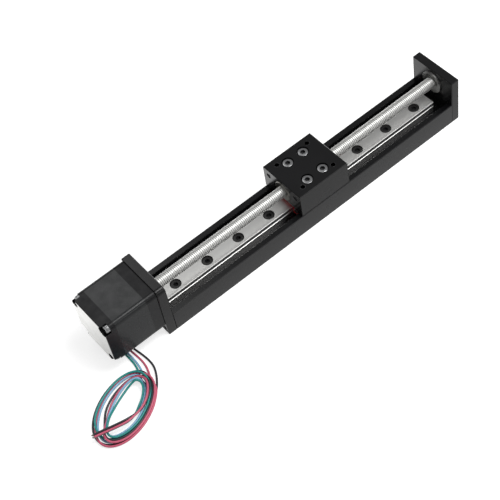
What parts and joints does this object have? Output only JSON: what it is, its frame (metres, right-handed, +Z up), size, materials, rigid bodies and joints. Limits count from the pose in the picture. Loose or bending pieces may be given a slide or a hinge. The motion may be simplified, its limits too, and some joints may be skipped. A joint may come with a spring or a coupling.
{
  "type": "motorized linear slide",
  "caption": "Compact linear slide: a square stepper motor turns a feed screw that moves a rail-guided carriage with threaded holes along a channel-shaped base.",
  "frame": {"origin": "under the middle of the slide without its leads, on the surface it stands on", "axes": "+X along the slide from the motor to the bearing end, +Z up out of the carriage's top face, +Y across, with the leads on the -Y side"},
  "size_m": [0.2581, 0.0627, 0.0348],
  "materials": {
    "black_anodised": "satin black anodised, machined",
    "motor_black": "satin black paint, rear face bare",
    "ground_steel": "ground",
    "screw_steel": "rolled, bright",
    "bearing_steel": "ground",
    "black_oxide": "black oxide",
    "bright_zinc": "zinc plated",
    "brass": "turned",
    "seal_red": "matt",
    "cap_plastic": "moulded",
    "rotor_iron": "ground laminations",
    "copper_wire": "enamelled copper",
    "wire_black": "soft vinyl",
    "wire_red": "soft vinyl",
    "wire_blue": "soft vinyl",
    "wire_green": "soft vinyl"
  },
  "bodies": {
    "base": {"base_channel": "black_anodised", "rail": "ground_steel", "rail_screws": "black_oxide", "motor_plate": "black_anodised", "motor_plate_screws": "black_oxide", "end_plate": "black_anodised", "end_plate_screws": "black_oxide", "end_bearing_outer": "bearing_steel", "motor_front_bell": "motor_black", "motor_stator": "motor_black", "motor_windings": "copper_wire", "motor_rear_bell": "motor_black", "motor_screws": "bright_zinc", "front_bearing_outer": "bearing_steel", "rear_bearing_outer": "bearing_steel", "wave_washer": "bearing_steel", "wire_grommet": "cap_plastic", "lead_black": "wire_black", "lead_red": "wire_red", "lead_blue": "wire_blue", "lead_green": "wire_green", "lead_coil": "wire_black"},
    "screw": {"feed_screw": "screw_steel", "retaining_ring": "screw_steel", "end_bearing_inner": "bearing_steel", "front_bearing_inner": "bearing_steel", "rear_bearing_inner": "bearing_steel", "rotor_core_front": "rotor_iron", "rotor_core_rear": "rotor_iron", "rotor_magnet": "rotor_iron"},
    "carriage": {"guide_block": "ground_steel", "guide_end_cap_front": "cap_plastic", "guide_end_cap_rear": "cap_plastic", "guide_seal_front": "seal_red", "guide_seal_rear": "seal_red", "guide_cap_screws": "bright_zinc", "carriage_block": "black_anodised", "carriage_screws": "bright_zinc", "carriage_set_screws": "bright_zinc", "lead_nut": "brass"}
  },
  "joints": [
    {"name": "screw_spin", "type": "hinge", "parent": "base", "child": "screw", "pos_m": [0, 0, 0.0207], "axis": [1, 0, 0], "range_deg": [-24770, 29234]},
    {"name": "carriage_slide", "type": "slide", "parent": "base", "child": "carriage", "axis": [1, 0, 0], "range_m": [-0.0812, 0.0688]}
  ],
  "couplings": [
    {"joint": "screw_spin", "follows": "carriage_slide", "rad_per_m": -6283.2}
  ]
}
